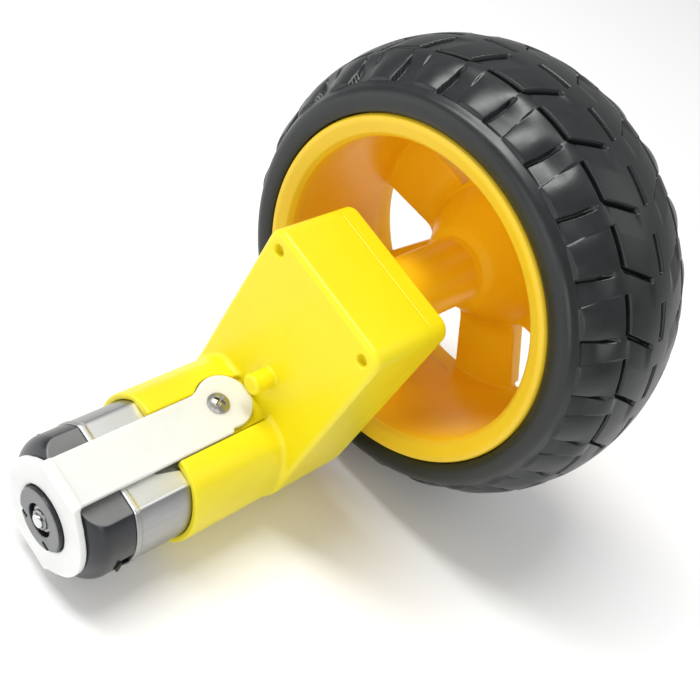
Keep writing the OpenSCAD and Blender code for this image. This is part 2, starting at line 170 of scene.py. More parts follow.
class Spin:
    """A profile of (radius, y) revolved about the axis, read from a fine table."""

    def __init__(self, pts, r=0.0, step=0.04):
        p = np.array(pts, float)
        self.o = np.array([-1.0, p[:, 1].min() - 3])
        hi = p.max(0) + 3
        self.h = step
        g = [np.arange(self.o[i], hi[i], step) for i in (0, 1)]
        a, b = np.meshgrid(*g, indexing="ij")
        t = poly2(np.abs(a), b, pts)
        if r:
            # soften the profile's corners
            k = max(1, int(round(r / step)))
            w = np.hanning(2 * k + 3)[1:-1]
            w /= w.sum()
            for ax in (0, 1):
                t = np.apply_along_axis(lambda v: np.convolve(np.pad(v, k, mode="edge"), w, "valid"), ax, t)
        self.t = t.astype(np.float32)

    def __call__(self, rad, y):
        u = np.clip((rad - self.o[0]) / self.h, 0, self.t.shape[0] - 1.001)
        v = np.clip((y - self.o[1]) / self.h, 0, self.t.shape[1] - 1.001)
        i, j = u.astype(np.int32), v.astype(np.int32)
        fu, fv = u - i, v - j
        t = self.t
        return (t[i, j] * (1 - fu) + t[i + 1, j] * fu) * (1 - fv) + (t[i, j + 1] * (1 - fu) + t[i + 1, j + 1] * fu) * fv


def surface(f, lo, hi, h, steps=2, eps=0.02):
    """Surface nets of the zero level of f, pulled onto the level and given its true normals."""
    g = [np.arange(lo[i] - 1.5 * h, hi[i] + 2.5 * h, h) for i in range(3)]
    shape = tuple(len(a) for a in g)
    F = np.empty(shape, np.float32)
    for i0 in range(0, shape[0], 24):
        x, y, z = np.meshgrid(g[0][i0:i0 + 24], g[1], g[2], indexing="ij")
        F[i0:i0 + 24] = f(x, y, z)
    neg = F < 0
    cs = tuple(n - 1 for n in shape)
    cnt = np.zeros(cs, np.int8)
    for i in (0, 1):
        for j in (0, 1):
            for k in (0, 1):
                cnt += neg[i:i + cs[0], j:j + cs[1], k:k + cs[2]]
    act = (cnt > 0) & (cnt < 8)
    idx = np.argwhere(act)
    vid = np.full(cs, -1, np.int32)
    vid[act] = np.arange(len(idx))
    acc = np.zeros((len(idx), 3))
    num = np.zeros(len(idx))
    for ax in range(3):
        others = [a for a in range(3) if a != ax]
        for a in (0, 1):
            for b in (0, 1):
                p0 = np.zeros(3, int)
                p0[others[0]], p0[others[1]] = a, b
                p1 = p0.copy()
                p1[ax] = 1
                q0, q1 = idx + p0, idx + p1
                f0, f1 = F[tuple(q0.T)], F[tuple(q1.T)]
                m = (f0 < 0) != (f1 < 0)
                t = f0[m] / (f0[m] - f1[m])
                pos = np.repeat(p0[None].astype(float), m.sum(), 0)
                pos[:, ax] = t
                acc[m] += pos
                num[m] += 1
    V = np.array([a[0] for a in g]) + h * (idx + acc / num[:, None])
    quads = []
    for ax in range(3):
        sl = [slice(1, n - 1) for n in shape]
        sl[ax] = slice(0, shape[ax] - 1)
        n0 = neg[tuple(sl)]
        sl1 = list(sl)
        sl1[ax] = slice(1, shape[ax])
        n1 = neg[tuple(sl1)]
        e = np.argwhere(n0 != n1)
        flip = n1[tuple(e.T)]
        off = np.ones(3, int)
        off[ax] = 0
        e = e + off
        b, c = [a for a in range(3) if a != ax]
        if ax == 1:
            b, c = c, b
        d = np.zeros((4, 3), int)
        d[0, b], d[0, c] = -1, -1
        d[1, c] = -1
        d[3, b] = -1
        q = np.stack([vid[tuple((e + d[i]).T)] for i in range(4)], 1)
        q[flip] = q[flip][:, ::-1]
        quads.append(q)
    Q = np.concatenate(quads)

    def grad(P):
        G = np.empty_like(P)
        for a in range(3):
            s = np.zeros(3)
            s[a] = eps
            A, B = P + s, P - s
            G[:, a] = (f(A[:, 0], A[:, 1], A[:, 2]) - f(B[:, 0], B[:, 1], B[:, 2])) / (2 * eps)
        return G

    # even out the mesh before it is pulled onto the level, so no quad folds over
    E = np.concatenate([Q[:, [0, 1]], Q[:, [1, 2]], Q[:, [2, 3]], Q[:, [3, 0]]])
    deg = np.maximum(np.bincount(E[:, 0], minlength=len(V)) + np.bincount(E[:, 1], minlength=len(V)), 1)
    for _ in range(2):
        S = np.stack([np.bincount(E[:, 0], V[E[:, 1], a], len(V)) + np.bincount(E[:, 1], V[E[:, 0], a], len(V)) for a in range(3)], 1)
        V = V + 0.5 * (S / deg[:, None] - V)
    for _ in range(steps):
        G = grad(V)
        v = f(V[:, 0], V[:, 1], V[:, 2])
        step = -(v / np.maximum((G * G).sum(1), 0.25))[:, None] * G
        n = np.linalg.norm(step, axis=1)
        V = V + step * np.minimum(1, 0.4 * h / np.maximum(n, 1e-9))[:, None]
    G = grad(V)
    G /= np.maximum(np.linalg.norm(G, axis=1), 1e-6)[:, None]
    return V, Q, G


def make_mesh(name, V, Q, N=None, body=None, nodes=(), mat=None):
    me = bpy.data.meshes.new(name)
    me.vertices.add(len(V))
    me.vertices.foreach_set("co", to_row(V).astype(np.float32).ravel())
    me.loops.add(Q.size)
    me.loops.foreach_set("vertex_index", Q.astype(np.int32).ravel())
    me.polygons.add(len(Q))
    me.polygons.foreach_set("loop_start", np.arange(0, Q.size, Q.shape[1], dtype=np.int32))
    me.update(calc_edges=True)
    me.validate()
    me.polygons.foreach_set("use_smooth", np.ones(len(me.polygons), bool))
    if N is not None and len(me.vertices) == len(N):
        R = np.stack([N[:, 0] * CL + N[:, 2] * SL, N[:, 1], -N[:, 0] * SL + N[:, 2] * CL], 1)
        me.normals_split_custom_set_from_vertices(R.tolist())
    ob = bpy.data.objects.new(name, me)
    scene.collection.objects.link(ob)
    if mat is not None:
        me.materials.append(mat)
    if body:
        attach(ob, body)
    if nodes:
        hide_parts(*nodes)
    return ob


def field(name, f, lo, hi, h, body, nodes, mat, steps=2, eps=0.02):
    V, Q, N = surface(f, lo, hi, h, steps, eps)
    return make_mesh(name, V, Q, N, body, nodes, mat)


# --------------------------------------------------------------- materials
class Nodes:
    def __init__(self, name):
        self.mat = bpy.data.materials.new(name)
        self.mat.use_nodes = True
        self.nt = self.mat.node_tree
        self.b = self.nt.nodes["Principled BSDF"]
        self.co = self.nt.nodes.new("ShaderNodeTexCoord").outputs["Object"]

    def set(self, **kw):
        for k, v in kw.items():
            self.b.inputs[k.replace("_", " ")].default_value = v
        return self

    def link(self, a, b):
        self.nt.links.new(a, b)

    def mapped(self, scale=(1, 1, 1), rot=(0, 0, 0)):
        n = self.nt.nodes.new("ShaderNodeMapping")
        n.inputs["Scale"].default_value = scale
        n.inputs["Rotation"].default_value = rot
        self.link(self.co, n.inputs["Vector"])
        return n.outputs["Vector"]

    def noise(self, scale, detail=4, rough=0.55, vec=None, dist=0.0):
        n = self.nt.nodes.new("ShaderNodeTexNoise")
        n.inputs["Scale"].default_value = scale
        n.inputs["Detail"].default_value = detail
        n.inputs["Roughness"].default_value = rough
        n.inputs["Distortion"].default_value = dist
        self.link(vec or self.co, n.inputs["Vector"])
        return n.outputs["Fac"]

    def voronoi(self, scale, vec=None):
        n = self.nt.nodes.new("ShaderNodeTexVoronoi")
        n.inputs["Scale"].default_value = scale
        self.link(vec or self.co, n.inputs["Vector"])
        return n.outputs["Distance"]

    def ramp(self, fac, stops):
        n = self.nt.nodes.new("ShaderNodeValToRGB")
        el = n.color_ramp.elements
        while len(el) < len(stops):
            el.new(0.5)
        for e, (p, c) in zip(el, stops):
            e.position = p
            e.color = c if len(c) == 4 else (*c, 1)
        self.link(fac, n.inputs["Fac"])
        return n.outputs["Color"]

    def range(self, fac, a, b, c, d):
        n = self.nt.nodes.new("ShaderNodeMapRange")
        for k, v in zip(("From Min", "From Max", "To Min", "To Max"), (a, b, c, d)):
            n.inputs[k].default_value = v
        self.link(fac, n.inputs["Value"])
        return n.outputs["Result"]

    def math(self, op, a, b=None):
        n = self.nt.nodes.new("ShaderNodeMath")
        n.operation = op
        for i, v in enumerate((a, b)):
            if v is None:
                continue
            if isinstance(v, (int, float)):
                n.inputs[i].default_value = v
            else:
                self.link(v, n.inputs[i])
        return n.outputs[0]

    def bump(self, height, strength=0.2, distance=0.0001, normal=None):
        n = self.nt.nodes.new("ShaderNodeBump")
        n.inputs["Strength"].default_value = strength
        n.inputs["Distance"].default_value = distance
        self.link(height, n.inputs["Height"])
        if normal is not None:
            self.link(normal, n.inputs["Normal"])
        return n.outputs["Normal"]

    def edge(self):
        """Convex edges from the mesh's pointiness."""
        return self.nt.nodes.new("ShaderNodeNewGeometry").outputs["Pointiness"]

    def out(self, color=None, rough=None, normal=None):
        if color is not None:
            self.link(color, self.b.inputs["Base Color"])
        if rough is not None:
            self.link(rough, self.b.inputs["Roughness"])
        if normal is not None:
            self.link(normal, self.b.inputs["Normal"])
        return self.mat


def plastic(name, dark, light, rough, sss=0.0, radius=(1, 0.5, 0.1), grain=2600, bump=0.05, coat=0.0, sub_scale=0.002, rvar=0.06):
    n = Nodes(name)
    big = n.noise(90, 3)
    col = n.ramp(big, [(0.3, dark), (0.7, light)])
    fine = n.noise(grain, 2, 0.6)
    r = n.range(n.noise(420, 5), 0.3, 0.7, rough - rvar, rough + rvar)
    scr = n.noise(1, 6, 0.7, n.mapped((300, 5200, 900), (0.3, 0.7, 0.2)))
    h = n.math("ADD", n.math("MULTIPLY", fine, 0.6), n.math("MULTIPLY", scr, 0.35))
    n.set(Subsurface_Weight=sss, Subsurface_Radius=radius, Subsurface_Scale=sub_scale, Coat_Weight=coat, Coat_Roughness=0.12, IOR=1.5)
    return n.out(col, r, n.bump(h, bump, 0.00008))


def metal(name, dark, light, rough, stretch=None, bump=0.08, scratches=True):
    n = Nodes(name)
    n.set(Metallic=1.0)
    vec = n.mapped(stretch) if stretch else None
    g = n.noise(1 if stretch else 700, 6, 0.65, vec)
    blotch = n.noise(240, 4)
    mix = n.math("ADD", n.math("MULTIPLY", g, 0.6), n.math("MULTIPLY", blotch, 0.4))
    col = n.ramp(mix, [(0.3, dark), (0.7, light)])
    r = n.range(mix, 0.25, 0.75, rough - 0.07, rough + 0.1)
    return n.out(col, r, n.bump(g, bump, 0.00003))


YELLOW = plastic("gearbox_plastic", (0.82, 0.68, 0.004), (0.85, 0.72, 0.006), 0.38, 0.10, (1.0, 0.75, 0.1), 3000, 0.012, rvar=0.02)


def wheel_plastic():
    """Deep yellow moulding; the near lip is painted paler, a painted highlight for the light the lip catches."""
    n = Nodes("wheel_plastic")
    sep = n.nt.nodes.new("ShaderNodeSeparateXYZ")
    n.link(n.co, sep.inputs[0])
    rad = n.math("SQRT", n.math("ADD", n.math("MULTIPLY", sep.outputs["X"], sep.outputs["X"]), n.math("MULTIPLY", sep.outputs["Z"], sep.outputs["Z"])))
    ynear = n.range(sep.outputs["Y"], (Y0 + TY0 + 1.2) / 1000, (Y0 + TY0 + 4.5) / 1000, 1.0, 0.0)
    # painted highlight: the near lip ring gets the paler colour stops of the ramp below
    lit_lip = n.math("MULTIPLY", n.range(rad, (LIP_IN - 0.4) / 1000, (LIP_IN + 0.5) / 1000, 0.0, 1.0), ynear)
    cloud = n.noise(110, 3)
    f = n.math("ADD", n.math("MULTIPLY", lit_lip, 0.75), n.math("MULTIPLY", cloud, 0.25))
    col = n.ramp(f, [(0.05, (0.985, 0.57, 0.004)), (0.2, (0.99, 0.61, 0.006)), (0.8, (0.80, 0.53, 0.018)), (1.0, (0.80, 0.57, 0.026))])
    flow = n.noise(150, 1)
    r = n.range(n.noise(300, 3), 0.3, 0.7, 0.36, 0.42)
    h = n.math("ADD", n.math("MULTIPLY", n.noise(700, 1), 0.10), n.math("MULTIPLY", flow, 0.5))
    n.set(Subsurface_Weight=0.12, Subsurface_Radius=(1.0, 0.5, 0.05), Subsurface_Scale=0.0012, IOR=1.48)
    return n.out(col, r, n.bump(h, 0.05, 0.0003))


WHEEL_Y = wheel_plastic()
NYLON = plastic("strap_nylon", (0.70, 0.71, 0.69), (0.77, 0.78, 0.755), 0.36, 0.55, (1.0, 1.0, 0.95), 1500, 0.08, 0.0, 0.0015)
ACETAL = plastic("gear_acetal", (0.80, 0.80, 0.74), (0.88, 0.88, 0.83), 0.35, 0.2, (1, 1, 0.9), 1500, 0.05)
def cap_plastic():
    """Black moulding; the two flats and the rear face of the boss are painted greyer, a painted reflection of the light
    they face, and are made duller.
    """
    n = Nodes("cap_plastic")
    sep = n.nt.nodes.new("ShaderNodeSeparateXYZ")
    n.link(n.co, sep.inputs[0])
    zz = n.math("ADD", n.math("ADD", n.math("MULTIPLY", sep.outputs["X"], SL), n.math("MULTIPLY", sep.outputs["Z"], CL)), D / 1000)
    # painted reflection: the two flats are painted grey
    lit_faces = n.range(n.math("ABSOLUTE", zz), (FLAT - 0.20) / 1000, (FLAT - 0.10) / 1000, 0.0, 1.0)
    # painted reflection: the rear face of the boss is painted grey as well
    boss = n.range(sep.outputs["Y"], (Y0 + Y_RING - 0.54) / 1000, (Y0 + Y_RING - 0.48) / 1000, 1.0, 0.0)
    lit_faces = n.math("MAXIMUM", lit_faces, boss)
    cloud = n.noise(260, 4)
    f = n.math("ADD", n.math("MULTIPLY", lit_faces, 0.8), n.math("MULTIPLY", cloud, 0.2))
    col = n.ramp(f, [(0.05, (0.010, 0.011, 0.014)), (0.2, (0.022, 0.025, 0.030)), (0.82, (0.135, 0.14, 0.14)), (1.0, (0.21, 0.215, 0.21))])
    r = n.range(f, 0.0, 1.0, 0.25, 0.42)
    n.set(IOR=1.5)
    return n.out(col, r, n.bump(n.noise(2200, 3), 0.08, 0.00008))


BLACK = cap_plastic()
def can_steel():
    """Drawn steel: the pressed flats are painted bright, a painted highlight of the light they face, and are a little
    smoother; the round sides are duller.
    """
    n = Nodes("can_steel")
    n.set(Metallic=1.0)
    sep = n.nt.nodes.new("ShaderNodeSeparateXYZ")
    n.link(n.co, sep.inputs[0])
    zz = n.math("ADD", n.math("ADD", n.math("MULTIPLY", sep.outputs["X"], SL), n.math("MULTIPLY", sep.outputs["Z"], CL)), D / 1000)
    # painted highlight: this mask paints the flats lighter
    lit_faces = n.range(n.math("ABSOLUTE", zz), (FLAT - 0.22) / 1000, (FLAT - 0.08) / 1000, 0.0, 0.62)
    grain = n.math("ADD", n.math("MULTIPLY", n.noise(1, 6, 0.65, n.mapped((900, 60, 900))), 0.22), n.math("MULTIPLY", n.noise(240, 4), 0.16))
    mix = n.math("ADD", lit_faces, grain)
    col = n.ramp(mix, [(0.10, (0.33, 0.335, 0.34)), (0.32, (0.43, 0.435, 0.44)), (0.70, (0.80, 0.81, 0.80)), (0.95, (0.90, 0.91, 0.90))])
    return n.out(col, n.range(mix, 0.1, 0.9, 0.36, 0.32), n.bump(grain, 0.08, 0.00003))


STEEL = can_steel()
BRIGHT = metal("screw_steel", (0.30, 0.29, 0.27), (0.56, 0.55, 0.52), 0.38, None, 0.30)
SHAFT = metal("shaft_steel", (0.55, 0.56, 0.58), (0.75, 0.76, 0.78), 0.18, (200, 3000, 200), 0.05)
STAKED = metal("bushing_steel", (0.14, 0.14, 0.14), (0.46, 0.46, 0.46), 0.26, None, 0.6)
BRONZE = metal("sintered_bronze", (0.42, 0.28, 0.12), (0.62, 0.44, 0.22), 0.42, None, 0.25)
BRASS = metal("tab_brass", (0.45, 0.36, 0.18), (0.68, 0.56, 0.30), 0.33, None, 0.12)
# painted shade: the tinned terminal tabs are painted near black for the shadow they sit in
TIN_PAINTED_SHADE = metal("tab_tin_painted_shade", (0.045, 0.043, 0.04), (0.10, 0.097, 0.09), 0.45, None, 0.25)
COPPER = metal("winding_copper", (0.45, 0.16, 0.05), (0.70, 0.30, 0.10), 0.30, (300, 4000, 300), 0.5)
LAMIN = metal("lamination_steel", (0.25, 0.25, 0.27), (0.42, 0.42, 0.44), 0.4, (100, 6000, 100), 0.5)
FERRITE = plastic("magnet_ferrite", (0.05, 0.05, 0.055), (0.085, 0.085, 0.09), 0.6, 0, (1, 1, 1), 900, 0.3)


def rubber():
    n = Nodes("tyre_rubber")
    big = n.noise(60, 4)
    dust = n.noise(420, 6, 0.7)
    mix = n.math("ADD", n.math("MULTIPLY", big, 0.5), n.math("MULTIPLY", dust, 0.5))
    col = n.ramp(mix, [(0.35, (0.0065, 0.0082, 0.0088)), (0.65, (0.0125, 0.0155, 0.0165))])
    fine = n.noise(3200, 3, 0.6)
    pits = n.range(n.voronoi(1700), 0.0, 0.35, 0.0, 1.0)
    h = n.math("ADD", n.math("MULTIPLY", fine, 0.6), n.math("MULTIPLY", pits, 0.25))
    r = n.range(dust, 0.3, 0.7, 0.30, 0.40)
    n.set(IOR=1.5, Specular_IOR_Level=0.48)
    return n.out(col, r, n.bump(h, 0.14, 0.00009))


RUBBER = rubber()

NODE_MAT = {
    "output_shaft": ACETAL, "output_gear": ACETAL, "third_gear": ACETAL, "second_gear": ACETAL, "first_gear": ACETAL,
    "motor_pinion": ACETAL, "gear_pin": SHAFT, "motor_shaft": SHAFT, "rotor_core": LAMIN, "windings": COPPER,
    "commutator": COPPER, "motor_can": STEEL, "magnets": FERRITE, "magnet_clips": SHAFT, "front_bushing": BRONZE,
    "rear_bushing": SHAFT, "end_cap": BLACK, "brushes": BRASS, "terminals": TIN_PAINTED_SHADE, "gearbox_rear": YELLOW,
    "gearbox_front": YELLOW, "gearbox_screws": BRIGHT, "strap": NYLON, "strap_screws": BRIGHT, "tyre": RUBBER,
    "wheel_rim": WHEEL_Y, "wheel_screw": BRIGHT,
}
for n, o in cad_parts.items():
    o.data.materials.clear()
    o.data.materials.append(NODE_MAT[n])


# -------------------------------------------------------------------- tyre
CROWN_N, CROWN_F = 19.0, 24.0


def tyre_profile():
    """Closed loop of (y, r) round the tyre section, outer side first, with arc length from the tread's middle."""
    c, w, r = TY0, TY1 - TY0, TYRE_R
    near = [(c + 0.35, LIP_R + 0.12), (c + 0.0, LIP_R + 0.6), (c - 0.22, r - 7.4), (c - 0.29, r - 6.4), (c - 0.08, r - 5.6), (c + 0.35, r - 5.0)]
    far = [(c + w - 0.5, r - 4.3), (c + w - 0.1, r - 5.3), (c + w, r - 6.8), (c + w - 0.1, LIP_R + 0.6), (c + w - 0.35, LIP_R + 0.12)]
    crown = []
    for v in np.linspace(-12.3, 12.3, 33):
        k = CROWN_N if v < 0 else CROWN_F
        crown.append((TYC + v, r - k + math.sqrt(k * k - v * v)))
    pts = np.array(near + crown + far)
    # smooth curve through the points
    t = np.r_[0, np.cumsum(np.linalg.norm(np.diff(pts, axis=0), axis=1))]
    n = 270
    s = np.linspace(0, t[-1], 600)
    y, rad = np.interp(s, t, pts[:, 0]), np.interp(s, t, pts[:, 1])
    k = np.hanning(21)
    k /= k.sum()
    pad = lambda v: np.r_[2 * v[0] - v[10:0:-1], v, 2 * v[-1] - v[-2:-12:-1]]
    y, rad = np.convolve(pad(y), k, "valid"), np.convolve(pad(rad), k, "valid")
    t = np.r_[0, np.cumsum(np.hypot(np.diff(y), np.diff(rad)))]
    s = np.linspace(0, t[-1], n)
    y, rad = np.interp(s, t, y), np.interp(s, t, rad)
    mid = s[np.argmin(np.abs(y - TYC) + (rad < TYRE_R - 1) * 99)]
    return y, rad, s - mid


def sstep(x, a, b):
    t = np.clip((x - a) / (b - a), 0, 1)
    return t * t * (3 - 2 * t)


PITCHES = 24


def tread(t, v):
    """Depth below the block tops at pitch coordinate t (0..1) and arc length v from the middle, in mm."""
    P = 2 * math.pi * (TYRE_R - 1.0) / PITCHES
    w = lambda u: (u + 0.5) % 1.0 - 0.5  # wrapped to -0.5..0.5
    shape = np.broadcast(t, v).shape
    dep = np.zeros(shape)

    def box(t0, t1, v0, v1, slant=0.0):
        """Distance in mm to a rectangle in pitch and arc length, slanting along v."""
        x = np.abs(w(t - (t0 + t1) / 2 - slant * (v - (v0 + v1) / 2))) * P - (t1 - t0) / 2 * P
        z = np.abs(v - (v0 + v1) / 2) - (v1 - v0) / 2
        return np.minimum(np.maximum(x, z), 0) + np.hypot(np.maximum(x, 0), np.maximum(z, 0))

    def cut(d, depth, so=0.10):
        nonlocal dep
        dep = np.maximum(dep, depth * (1 - sstep(d, -so, so)))

    for side, t0, row in ((-1, 0.0, 6.6), (1, 0.06, 7.5)):
        out = side * v
        # shoulder blocks swell in the middle
        c = np.abs(w(t - t0 - 0.69)) / 0.31
        swell = 0.42 * np.clip(c, 0, 1) ** 2.2 * sstep(out, row, row + 3.0) * (1 - sstep(c, 1.0, 1.2))
        # recess between two shoulder blocks: deep under the upper block, its floor rising to a small step
        # at the edge of the lower one
        x = w(t - t0 - 0.19) * P  # from the middle of the recess, up towards the deep end
        half = (0.19 + 0.035 * sstep(out, 10.0, 13.0)) * P
        u = np.clip(x / half * 0.5 + 0.5, 0, 1)
        inside = sstep(x, -half - 0.14, -half + 0.10) * (1 - sstep(x, half - 0.06, half + 0.08))
        fade = sstep(out, row + 0.7, row + 4.4)
        ramp = 0.46 + 0.62 * u
        deep = sstep(x, half - 0.80, half - 0.42) * (1 - sstep(x, half - 0.08, half + 0.10)) * sstep(out, row + 0.9, row + 2.6)
        dep = np.maximum(dep, swell)
        dep = np.maximum(dep, ramp * inside * fade)
        dep = np.maximum(dep, 1.3 * deep)
        # slot along the inner edge of each shoulder block
        sw = 0.34 if side < 0 else 0.48
        cut(box(t0 + 0.40, t0 + 1.01, *sorted((side * (row - sw), side * (row + sw)))), 1.45)
    # slot across the middle
    cut(box(0.11, 0.68, -0.38, 0.50), 1.5)
    # slanted slots below the middle blocks, the tread rising again past them
    for t0, v0, v1, sl, depth in ((0.225, -6.7, -1.9, -0.066, 1.3), (0.27, 2.6, 6.8, 0.075, 0.75)):
        x = w(t - t0 - sl * (v - (v0 + v1) / 2)) * P
        z = np.abs(v - (v0 + v1) / 2) - (v1 - v0) / 2
        inz = 1 - sstep(z, -0.12, 0.12)
        slot = depth * (1 - sstep(np.abs(x) - 0.30, -0.12, 0.12)) * inz
        rise = 0.36 * np.clip(1 + (x + 0.4) / 3.4, 0, 1) * (x < 0.2) * (1 - sstep(z, -0.9, 0.3))
        dep = np.maximum(dep, np.maximum(slot, rise))
    # the blocks end at the side wall, which is plain
    a = np.abs(v)
    wall = sstep(a, 12.80, 13.20)
    plain = 0.38 * np.clip(1 - (a - 13.2) / 6.5, 0, 1)
    return dep * (1 - wall) + plain * wall


def build_tyre():
    y, rad, s = tyre_profile()
    oy, orr = -np.gradient(rad, s), np.gradient(y, s)  # outward normal of the section
    ln = np.hypot(oy, orr)
    oy, orr = oy / ln, orr / ln
    N = 2160
    a = np.arange(N) * 2 * math.pi / N
    t = ((np.degrees(a) - 79.6) / (360 / PITCHES)) % 1.0
    T, S = np.meshgrid(t, s, indexing="ij")
    dep = tread(T, S)
    YY = y[None] - oy[None] * dep
    RR = rad[None] - orr[None] * dep
    # inner skin closes the section against the rim
    c, w = TY0, TY1 - TY0
    inner = [(c + w - 2.6, LIP_R + 0.1), (c + w - 2.9, SEAT_R + 0.03), (c + 2.9, SEAT_R + 0.03), (c + 2.6, LIP_R + 0.1)]
    for py, pr in inner:
        YY = np.c_[YY, np.full(N, py)]
        RR = np.c_[RR, np.full(N, pr)]
    M = YY.shape[1]
    V = np.stack([RR * np.cos(a)[:, None], YY, RR * np.sin(a)[:, None]], -1).reshape(-1, 3)
    i, j = np.meshgrid(np.arange(N), np.arange(M), indexing="ij")
    i2, j2 = (i + 1) % N, (j + 1) % M
    Q = np.stack([i * M + j, i * M + j2, i2 * M + j2, i2 * M + j], -1).reshape(-1, 4)
    return make_mesh("tyre_treaded", V, Q, None, "wheel", ("tyre",), RUBBER)


build_tyre()


# --------------------------------------------------------------------- rim
def build_rim():
    g, o = TY0, TY1
    out = o - 0.4
    prof = Spin([
        (0, 1.4), (4.75, 1.4), (5.05, 1.75), (5.05, 18.2), (5.35, 19.2), (6.4, 20.4), (11.0, Y_DISC - 1.2), (12.6, Y_DISC - 0.2), (13.6, Y_DISC),
        (WIN_R + 0.1, Y_DISC), (WIN_R + 0.3, Y_DISC - 1), (LIP_IN + 0.25, g + 6), (LIP_IN, g + 2.4),
        (LIP_IN + 0.12, g + 1.5), (LIP_IN + 0.7, g + 0.75), (LIP_R - 1.0, g + 0.05), (LIP_R - 0.3, g + 0.1), (LIP_R, g + 0.7),
        (LIP_R, g + 2.4), (SEAT_R, g + 2.7), (SEAT_R, o - 2.7), (LIP_R, o - 2.4), (LIP_R, o - 0.9),
        (LIP_R - 0.5, out), (SEAT_R - 1, out), (SEAT_R - 1.6, Y_DISC + 1.9), (9.4, Y_DISC + 1.9), (8.6, Y_DISC + 2.2),
        (5.3, Y_DISC + 2.2), (4.5, Y_DISC + 1.7), (3.6, 23.2), (0, 23.2)], 0.22)
    h = math.pi / 6
    half = 5.6
    a = half / math.sin(h) + 0.8
    k = h - math.asin(half / WIN_R)
    x1, y1 = WIN_R * math.cos(k), WIN_R * math.sin(k) - 0.4
    wpoly = [(a, 0.5), (x1, y1), (WIN_R + 4, y1), (WIN_R + 4, -y1), (x1, -y1), (a, -0.5)]

    def f(x, y, z):
        rad = np.hypot(x, z)
        d = prof(rad, y)
        ang = np.arctan2(z, x) - math.radians(35)
        ang = (ang + h) % (2 * h) - h
        wx, wz = rad * np.cos(ang), rad * np.sin(ang)
        win = np.maximum(poly2(wx, wz, wpoly), rad - WIN_R) - 0.25
        win = np.maximum(win, Y_DISC - 1.5 - y)
        # ribs stiffen the spokes from behind
        rib = np.maximum(np.maximum(rad - WIN_R + 0.2, 8.8 - rad), np.maximum(Y_DISC + 0.6 - y, y - out))
        d = np.minimum(d, rib)
        d = smax(d, -win, 0.5)
        # double-D bore
        bore = np.maximum(rad - 2.73, np.abs(x) - 1.88)
        bore = np.maximum(bore, y - 21.5)
        bore = np.minimum(bore, np.maximum(rad - 0.95, 21.3 - y))
        return np.maximum(d, -bore)

    R = LIP_R + 0.2
    field("rim_moulding", f, (-R, 1.3, -R), (R, o, R), 0.25, "wheel", ("wheel_rim",), WHEEL_Y, steps=4, eps=0.1)


build_rim()


# ----------------------------------------------------------------- gearbox
def slab2(x, z, g=0.0):
    """Outline of the gearbox: rounded top corners, round lower end."""
    top, r = BOX_TOP - g, 2.2
    zc, hz = (top - D) / 2, (top + D) / 2
    up = box2(x, z - zc, BOX_W / 2 - g, hz, r)
    up = np.where(z < zc, np.maximum(np.abs(x) - BOX_W / 2 + g, -D - z), up)
    return np.minimum(up, np.hypot(x, z + D) - END_R + g)


def can2(x, z, g=0.0, r=0.7):
    return smax(np.hypot(x, z + D) - 10 - g, np.abs(z + D) - FLAT - g, r)


PITS = [(-8.85, 7.5), (8.85, 7.5)]
LOWS = [(-6.4, -6.1 - D), (6.4, -6.1 - D)]


def rear_field(x, y, z):
    body = plate(slab2(x, z), y, Y_IN, 0.6, 0.85)
    zz = z + D
    ch = smax(np.hypot(x, zz) - 10.98, np.abs(zz) - FLAT - 1.4, 1.4)
    ch = np.maximum(ch, -can2(x, z, 0.05))
    ch = smax(ch, -(np.abs(x + 0.1) - 3.75), 0.4)
    ch = plate(ch, y, CHEEK_END, Y_IN + 1.2, 0.28)
    d = smin(body, ch, 0.9)
    d = np.maximum(d, -np.maximum(can2(x, z, 0.05), y - Y_IN))
    for s in (1, -1):
        # block under the strap end, pocket round the eye
        d = np.minimum(d, box3(x, y, zz, (-0.25, Y_IN - 4.1, s * (FLAT + 0.38)), (3.65, 4.4, 0.3), 0.1))
        pocket = np.maximum(np.hypot(x - EYE[0], y - EYE[1]) - EYE[2] - 0.15, STRAP_Z - 1.02 - s * zz)
        d = smax(d, -pocket, 0.25)
    # peg above the strap end
    peg = np.hypot(x - PEG[0], z - PEG[1] + D) - 1.5
    d = smin(d, plate(peg, y, Y_IN - 3.4, Y_IN + 1, 0.45), 0.35)
    # inside is left open for the gears
    d = smax(d, -plate(slab2(x, z, 1.3), y, Y_IN + 1.3, 3.0, 0.4), 0.2)
    d = np.minimum(d, np.maximum(np.minimum(np.hypot(x, z) - 3.2, np.hypot(x, z + 12) - 2.0), np.maximum(Y_IN + 0.5 - y, y - Y_IN - 1.45)))
    # moulding pits in the upper corners, with the posts behind them
    for px, pz in PITS + LOWS:
        rad = np.hypot(x - px, z - pz)
        d = np.minimum(d, np.maximum(rad - 2.0, np.maximum(Y_IN + 0.5 - y, y - SPLIT)))
        d = np.maximum(d, -np.maximum(rad - 0.8, SPLIT - 6.1 - y))
        if pz > 0:
            d = smax(d, -np.maximum(rad - 0.75, y - Y_IN - 1.1), 0.5)
    # holes for the strap screws, the shaft end and the gear pin
    d = np.maximum(d, -np.maximum(np.hypot(x - SCREW[0], y - SCREW[1]) - 0.8, np.abs(np.abs(zz) - FLAT - 0.7) - 1.5))
    d = np.maximum(d, -np.maximum(np.hypot(x, z) - 2.23, Y_IN + 0.45 - y))
    d = np.maximum(d, -np.maximum(np.hypot(x, z + 12) - 1.02, Y_IN + 0.48 - y))
    # motor shaft hole in the wall
    d = np.maximum(d, -np.maximum(np.hypot(x, zz) - 3.1, np.maximum(Y_IN - 1 - y, y - Y_IN - 1.6)))
    return np.maximum(d + 0.03 * (y > SPLIT), y - SPLIT - 0.12)


field("gearbox_motor_half", rear_field, (-11.35, CHEEK_END, -D - 11.4), (11.35, SPLIT + 0.12, BOX_TOP), 0.2, "housing", ("gearbox_rear",), YELLOW)


